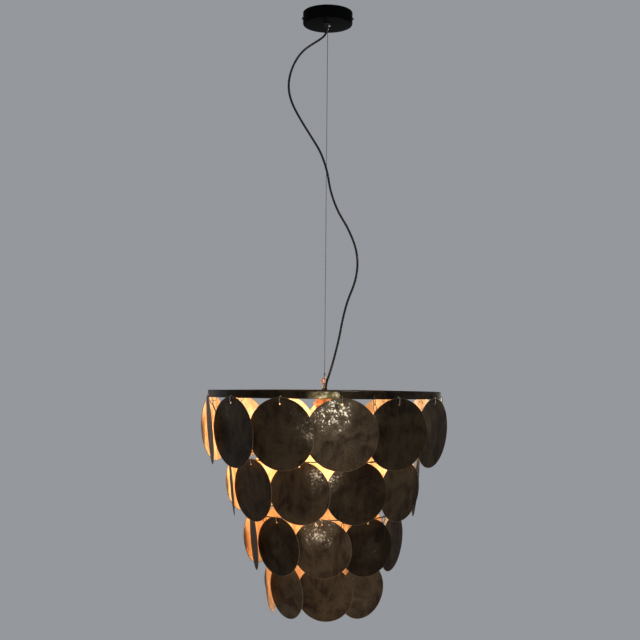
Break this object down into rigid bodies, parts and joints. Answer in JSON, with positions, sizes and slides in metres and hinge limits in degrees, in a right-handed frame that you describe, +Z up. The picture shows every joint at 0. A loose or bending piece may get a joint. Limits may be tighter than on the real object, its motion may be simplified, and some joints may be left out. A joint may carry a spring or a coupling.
{
  "type": "pendant lamp",
  "caption": "Pendant lamp: a wire and a slack flex carry a shade of overlapping metal discs hung in tiers from rings, over one bulb.",
  "frame": {"origin": "on the ceiling, on the lamp's vertical axis, at the top face of the ceiling bracket", "axes": "+Z up, -Y towards the viewer of the picture, +X to the viewer's right"},
  "size_m": [0.5752, 0.577, 1.4311],
  "materials": {
    "black_lacquer": "satin",
    "steel": "satin",
    "zinc_steel": "matte",
    "pale_plastic": "matte",
    "black_plastic": "matte",
    "black_pvc": "satin",
    "copper": "satin",
    "brass": "satin",
    "bulb_brass": "satin",
    "bronze_frame": "patinated",
    "bronze_wire": "patinated",
    "bronze_disc": "patinated, gold leaf inside",
    "bulb_glass": "opal, lit"
  },
  "bodies": {
    "root": {"ceiling_bracket": "zinc_steel", "ceiling_canopy": "black_lacquer", "canopy_screw_right": "steel", "canopy_screw_left": "steel", "terminal_block": "pale_plastic", "wire_gripper": "steel", "cord_grip": "black_plastic", "suspension_wire": "steel", "power_flex": "black_pvc"},
    "shade": {"top_eye": "copper", "shank_nut": "brass", "top_frame": "bronze_frame", "lampholder": "copper", "bulb_cap": "bulb_brass", "bulb_glass": "bulb_glass", "second_ring": "bronze_wire", "third_ring": "bronze_wire", "lowest_ring": "bronze_wire"},
    "upper_disc_01": {"upper_disc_01": "bronze_disc"},
    "upper_disc_02": {"upper_disc_02": "bronze_disc"},
    "upper_disc_03": {"upper_disc_03": "bronze_disc"},
    "upper_disc_04": {"upper_disc_04": "bronze_disc"},
    "upper_disc_05": {"upper_disc_05": "bronze_disc"},
    "upper_disc_06": {"upper_disc_06": "bronze_disc"},
    "upper_disc_07": {"upper_disc_07": "bronze_disc"},
    "upper_disc_08": {"upper_disc_08": "bronze_disc"},
    "upper_disc_09": {"upper_disc_09": "bronze_disc"},
    "upper_disc_10": {"upper_disc_10": "bronze_disc"},
    "upper_disc_11": {"upper_disc_11": "bronze_disc"},
    "upper_disc_12": {"upper_disc_12": "bronze_disc"},
    "upper_disc_13": {"upper_disc_13": "bronze_disc"},
    "second_disc_01": {"second_disc_01": "bronze_disc"},
    "second_disc_02": {"second_disc_02": "bronze_disc"},
    "second_disc_03": {"second_disc_03": "bronze_disc"},
    "second_disc_04": {"second_disc_04": "bronze_disc"},
    "second_disc_05": {"second_disc_05": "bronze_disc"},
    "second_disc_06": {"second_disc_06": "bronze_disc"},
    "second_disc_07": {"second_disc_07": "bronze_disc"},
    "second_disc_08": {"second_disc_08": "bronze_disc"},
    "second_disc_09": {"second_disc_09": "bronze_disc"},
    "second_disc_10": {"second_disc_10": "bronze_disc"},
    "second_disc_11": {"second_disc_11": "bronze_disc"},
    "third_disc_01": {"third_disc_01": "bronze_disc"},
    "third_disc_02": {"third_disc_02": "bronze_disc"},
    "third_disc_03": {"third_disc_03": "bronze_disc"},
    "third_disc_04": {"third_disc_04": "bronze_disc"},
    "third_disc_05": {"third_disc_05": "bronze_disc"},
    "third_disc_06": {"third_disc_06": "bronze_disc"},
    "third_disc_07": {"third_disc_07": "bronze_disc"},
    "third_disc_08": {"third_disc_08": "bronze_disc"},
    "third_disc_09": {"third_disc_09": "bronze_disc"},
    "third_disc_10": {"third_disc_10": "bronze_disc"},
    "lowest_disc_01": {"lowest_disc_01": "bronze_disc"},
    "lowest_disc_02": {"lowest_disc_02": "bronze_disc"},
    "lowest_disc_03": {"lowest_disc_03": "bronze_disc"},
    "lowest_disc_04": {"lowest_disc_04": "bronze_disc"},
    "lowest_disc_05": {"lowest_disc_05": "bronze_disc"},
    "lowest_disc_06": {"lowest_disc_06": "bronze_disc"},
    "lowest_disc_07": {"lowest_disc_07": "bronze_disc"},
    "lowest_disc_08": {"lowest_disc_08": "bronze_disc"}
  },
  "joints": [
    {"name": "shade_sway", "type": "hinge", "parent": "root", "child": "shade", "pos_m": [0, 0, -0.88875], "axis": [0, 1, 0], "range_deg": [-8, 8], "deforming": ["power_flex"]},
    {"name": "upper_disc_01_swing", "type": "hinge", "parent": "shade", "child": "upper_disc_01", "pos_m": [0.03621, -0.27135, -0.9263], "axis": [-0.9987, -0.0519, 0], "range_deg": [0, 18]},
    {"name": "upper_disc_02_swing", "type": "hinge", "parent": "shade", "child": "upper_disc_02", "pos_m": [0.15816, -0.22344, -0.9263], "axis": [-0.8601, -0.51, 0], "range_deg": [0, 18]},
    {"name": "upper_disc_03_swing", "type": "hinge", "parent": "shade", "child": "upper_disc_03", "pos_m": [0.24388, -0.12434, -0.9263], "axis": [-0.5246, -0.8514, 0], "range_deg": [0, 18]},
    {"name": "upper_disc_04_swing", "type": "hinge", "parent": "shade", "child": "upper_disc_04", "pos_m": [0.27373, 0.00323, -0.9263], "axis": [-0.0689, -0.9976, 0], "range_deg": [0, 18]},
    {"name": "upper_disc_05_swing", "type": "hinge", "parent": "shade", "child": "upper_disc_05", "pos_m": [0.24087, 0.13007, -0.9263], "axis": [0.4026, -0.9154, 0], "range_deg": [0, 18]},
    {"name": "upper_disc_06_swing", "type": "hinge", "parent": "shade", "child": "upper_disc_06", "pos_m": [0.15283, 0.22711, -0.9263], "axis": [0.7819, -0.6234, 0], "range_deg": [0, 18]},
    {"name": "upper_disc_07_swing", "type": "hinge", "parent": "shade", "child": "upper_disc_07", "pos_m": [0.02978, 0.27213, -0.9263], "axis": [0.9821, -0.1886, 0], "range_deg": [0, 18]},
    {"name": "upper_disc_08_swing", "type": "hinge", "parent": "shade", "child": "upper_disc_08", "pos_m": [-0.10009, 0.2548, -0.9263], "axis": [0.9572, 0.2894, 0], "range_deg": [0, 18]},
    {"name": "upper_disc_09_swing", "type": "hinge", "parent": "shade", "child": "upper_disc_09", "pos_m": [-0.20703, 0.1791, -0.9263], "axis": [0.7131, 0.7011, 0], "range_deg": [0, 18]},
    {"name": "upper_disc_10_swing", "type": "hinge", "parent": "shade", "child": "upper_disc_10", "pos_m": [-0.26655, 0.06237, -0.9263], "axis": [0.3056, 0.9522, 0], "range_deg": [0, 18]},
    {"name": "upper_disc_11_swing", "type": "hinge", "parent": "shade", "child": "upper_disc_11", "pos_m": [-0.265, -0.06865, -0.9263], "axis": [-0.1719, 0.9851, 0], "range_deg": [0, 18]},
    {"name": "upper_disc_12_swing", "type": "hinge", "parent": "shade", "child": "upper_disc_12", "pos_m": [-0.20275, -0.18394, -0.9263], "axis": [-0.61, 0.7924, 0], "range_deg": [0, 18]},
    {"name": "upper_disc_13_swing", "type": "hinge", "parent": "shade", "child": "upper_disc_13", "pos_m": [-0.09404, -0.25709, -0.9263], "axis": [-0.9084, 0.4181, 0], "range_deg": [0, 18]},
    {"name": "second_disc_01_swing", "type": "hinge", "parent": "shade", "child": "second_disc_01", "pos_m": [-0.05286, -0.21201, -1.069], "axis": [-0.9516, 0.3074, 0], "range_deg": [0, 18]},
    {"name": "second_disc_02_swing", "type": "hinge", "parent": "shade", "child": "second_disc_02", "pos_m": [0.07015, -0.20693, -1.069], "axis": [-0.9667, -0.2559, 0], "range_deg": [0, 18]},
    {"name": "second_disc_03_swing", "type": "hinge", "parent": "shade", "child": "second_disc_03", "pos_m": [0.17089, -0.13615, -1.069], "axis": [-0.6749, -0.7379, 0], "range_deg": [0, 18]},
    {"name": "second_disc_04_swing", "type": "hinge", "parent": "shade", "child": "second_disc_04", "pos_m": [0.21737, -0.02215, -1.069], "axis": [-0.1688, -0.9856, 0], "range_deg": [0, 18]},
    {"name": "second_disc_05_swing", "type": "hinge", "parent": "shade", "child": "second_disc_05", "pos_m": [0.19484, 0.09889, -1.069], "axis": [0.3908, -0.9205, 0], "range_deg": [0, 18]},
    {"name": "second_disc_06_swing", "type": "hinge", "parent": "shade", "child": "second_disc_06", "pos_m": [0.11045, 0.18853, -1.069], "axis": [0.8264, -0.563, 0], "range_deg": [0, 18]},
    {"name": "second_disc_07_swing", "type": "hinge", "parent": "shade", "child": "second_disc_07", "pos_m": [-0.00901, 0.21831, -1.069], "axis": [0.9996, -0.0268, 0], "range_deg": [0, 18]},
    {"name": "second_disc_08_swing", "type": "hinge", "parent": "shade", "child": "second_disc_08", "pos_m": [-0.12561, 0.17879, -1.069], "axis": [0.8555, 0.5179, 0], "range_deg": [0, 18]},
    {"name": "second_disc_09_swing", "type": "hinge", "parent": "shade", "child": "second_disc_09", "pos_m": [-0.20233, 0.08249, -1.069], "axis": [0.4397, 0.8982, 0], "range_deg": [0, 18]},
    {"name": "second_disc_10_swing", "type": "hinge", "parent": "shade", "child": "second_disc_10", "pos_m": [-0.21481, -0.03999, -1.069], "axis": [-0.1157, 0.9933, 0], "range_deg": [0, 18]},
    {"name": "second_disc_11_swing", "type": "hinge", "parent": "shade", "child": "second_disc_11", "pos_m": [-0.15909, -0.14978, -1.069], "axis": [-0.6343, 0.7731, 0], "range_deg": [0, 18]},
    {"name": "third_disc_01_swing", "type": "hinge", "parent": "shade", "child": "third_disc_01", "pos_m": [-0.00294, -0.16837, -1.199], "axis": [-0.9908, 0.1351, 0], "range_deg": [0, 18]},
    {"name": "third_disc_02_swing", "type": "hinge", "parent": "shade", "child": "third_disc_02", "pos_m": [0.09659, -0.13795, -1.199], "axis": [-0.881, -0.4731, 0], "range_deg": [0, 18]},
    {"name": "third_disc_03_swing", "type": "hinge", "parent": "shade", "child": "third_disc_03", "pos_m": [0.15923, -0.05483, -1.199], "axis": [-0.4346, -0.9006, 0], "range_deg": [0, 18]},
    {"name": "third_disc_04_swing", "type": "hinge", "parent": "shade", "child": "third_disc_04", "pos_m": [0.16104, 0.04924, -1.199], "axis": [0.1777, -0.9841, 0], "range_deg": [0, 18]},
    {"name": "third_disc_05_swing", "type": "hinge", "parent": "shade", "child": "third_disc_05", "pos_m": [0.10135, 0.13449, -1.199], "axis": [0.7222, -0.6917, 0], "range_deg": [0, 18]},
    {"name": "third_disc_06_swing", "type": "hinge", "parent": "shade", "child": "third_disc_06", "pos_m": [0.00294, 0.16837, -1.199], "axis": [0.9908, -0.1351, 0], "range_deg": [0, 18]},
    {"name": "third_disc_07_swing", "type": "hinge", "parent": "shade", "child": "third_disc_07", "pos_m": [-0.09659, 0.13795, -1.199], "axis": [0.881, 0.4731, 0], "range_deg": [0, 18]},
    {"name": "third_disc_08_swing", "type": "hinge", "parent": "shade", "child": "third_disc_08", "pos_m": [-0.15923, 0.05483, -1.199], "axis": [0.4346, 0.9006, 0], "range_deg": [0, 18]},
    {"name": "third_disc_09_swing", "type": "hinge", "parent": "shade", "child": "third_disc_09", "pos_m": [-0.16104, -0.04924, -1.199], "axis": [-0.1777, 0.9841, 0], "range_deg": [0, 18]},
    {"name": "third_disc_10_swing", "type": "hinge", "parent": "shade", "child": "third_disc_10", "pos_m": [-0.10135, -0.13449, -1.199], "axis": [-0.7222, 0.6917, 0], "range_deg": [0, 18]},
    {"name": "lowest_disc_01_swing", "type": "hinge", "parent": "shade", "child": "lowest_disc_01", "pos_m": [0.00362, -0.12195, -1.306], "axis": [-0.9897, 0.1429, 0], "range_deg": [0, 18]},
    {"name": "lowest_disc_02_swing", "type": "hinge", "parent": "shade", "child": "lowest_disc_02", "pos_m": [0.08879, -0.08367, -1.306], "axis": [-0.8009, -0.5988, 0], "range_deg": [0, 18]},
    {"name": "lowest_disc_03_swing", "type": "hinge", "parent": "shade", "child": "lowest_disc_03", "pos_m": [0.12195, 0.00362, -1.306], "axis": [-0.1429, -0.9897, 0], "range_deg": [0, 18]},
    {"name": "lowest_disc_04_swing", "type": "hinge", "parent": "shade", "child": "lowest_disc_04", "pos_m": [0.08367, 0.08879, -1.306], "axis": [0.5988, -0.8009, 0], "range_deg": [0, 18]},
    {"name": "lowest_disc_05_swing", "type": "hinge", "parent": "shade", "child": "lowest_disc_05", "pos_m": [-0.00362, 0.12195, -1.306], "axis": [0.9897, -0.1429, 0], "range_deg": [0, 18]},
    {"name": "lowest_disc_06_swing", "type": "hinge", "parent": "shade", "child": "lowest_disc_06", "pos_m": [-0.08879, 0.08367, -1.306], "axis": [0.8009, 0.5988, 0], "range_deg": [0, 18]},
    {"name": "lowest_disc_07_swing", "type": "hinge", "parent": "shade", "child": "lowest_disc_07", "pos_m": [-0.12195, -0.00362, -1.306], "axis": [0.1429, 0.9897, 0], "range_deg": [0, 18]},
    {"name": "lowest_disc_08_swing", "type": "hinge", "parent": "shade", "child": "lowest_disc_08", "pos_m": [-0.08367, -0.08879, -1.306], "axis": [-0.5988, 0.8009, 0], "range_deg": [0, 18]}
  ],
  "couplings": [
    {"joint": "upper_disc_02_swing", "follows": "upper_disc_01_swing", "ratio": 1},
    {"joint": "upper_disc_03_swing", "follows": "upper_disc_01_swing", "ratio": 1},
    {"joint": "upper_disc_04_swing", "follows": "upper_disc_01_swing", "ratio": 1},
    {"joint": "upper_disc_05_swing", "follows": "upper_disc_01_swing", "ratio": 1},
    {"joint": "upper_disc_06_swing", "follows": "upper_disc_01_swing", "ratio": 1},
    {"joint": "upper_disc_07_swing", "follows": "upper_disc_01_swing", "ratio": 1},
    {"joint": "upper_disc_08_swing", "follows": "upper_disc_01_swing", "ratio": 1},
    {"joint": "upper_disc_09_swing", "follows": "upper_disc_01_swing", "ratio": 1},
    {"joint": "upper_disc_10_swing", "follows": "upper_disc_01_swing", "ratio": 1},
    {"joint": "upper_disc_11_swing", "follows": "upper_disc_01_swing", "ratio": 1},
    {"joint": "upper_disc_12_swing", "follows": "upper_disc_01_swing", "ratio": 1},
    {"joint": "upper_disc_13_swing", "follows": "upper_disc_01_swing", "ratio": 1},
    {"joint": "second_disc_02_swing", "follows": "second_disc_01_swing", "ratio": 1},
    {"joint": "second_disc_03_swing", "follows": "second_disc_01_swing", "ratio": 1},
    {"joint": "second_disc_04_swing", "follows": "second_disc_01_swing", "ratio": 1},
    {"joint": "second_disc_05_swing", "follows": "second_disc_01_swing", "ratio": 1},
    {"joint": "second_disc_06_swing", "follows": "second_disc_01_swing", "ratio": 1},
    {"joint": "second_disc_07_swing", "follows": "second_disc_01_swing", "ratio": 1},
    {"joint": "second_disc_08_swing", "follows": "second_disc_01_swing", "ratio": 1},
    {"joint": "second_disc_09_swing", "follows": "second_disc_01_swing", "ratio": 1},
    {"joint": "second_disc_10_swing", "follows": "second_disc_01_swing", "ratio": 1},
    {"joint": "second_disc_11_swing", "follows": "second_disc_01_swing", "ratio": 1},
    {"joint": "third_disc_02_swing", "follows": "third_disc_01_swing", "ratio": 1},
    {"joint": "third_disc_03_swing", "follows": "third_disc_01_swing", "ratio": 1},
    {"joint": "third_disc_04_swing", "follows": "third_disc_01_swing", "ratio": 1},
    {"joint": "third_disc_05_swing", "follows": "third_disc_01_swing", "ratio": 1},
    {"joint": "third_disc_06_swing", "follows": "third_disc_01_swing", "ratio": 1},
    {"joint": "third_disc_07_swing", "follows": "third_disc_01_swing", "ratio": 1},
    {"joint": "third_disc_08_swing", "follows": "third_disc_01_swing", "ratio": 1},
    {"joint": "third_disc_09_swing", "follows": "third_disc_01_swing", "ratio": 1},
    {"joint": "third_disc_10_swing", "follows": "third_disc_01_swing", "ratio": 1},
    {"joint": "lowest_disc_02_swing", "follows": "lowest_disc_01_swing", "ratio": 1},
    {"joint": "lowest_disc_03_swing", "follows": "lowest_disc_01_swing", "ratio": 1},
    {"joint": "lowest_disc_04_swing", "follows": "lowest_disc_01_swing", "ratio": 1},
    {"joint": "lowest_disc_05_swing", "follows": "lowest_disc_01_swing", "ratio": 1},
    {"joint": "lowest_disc_06_swing", "follows": "lowest_disc_01_swing", "ratio": 1},
    {"joint": "lowest_disc_07_swing", "follows": "lowest_disc_01_swing", "ratio": 1},
    {"joint": "lowest_disc_08_swing", "follows": "lowest_disc_01_swing", "ratio": 1}
  ]
}
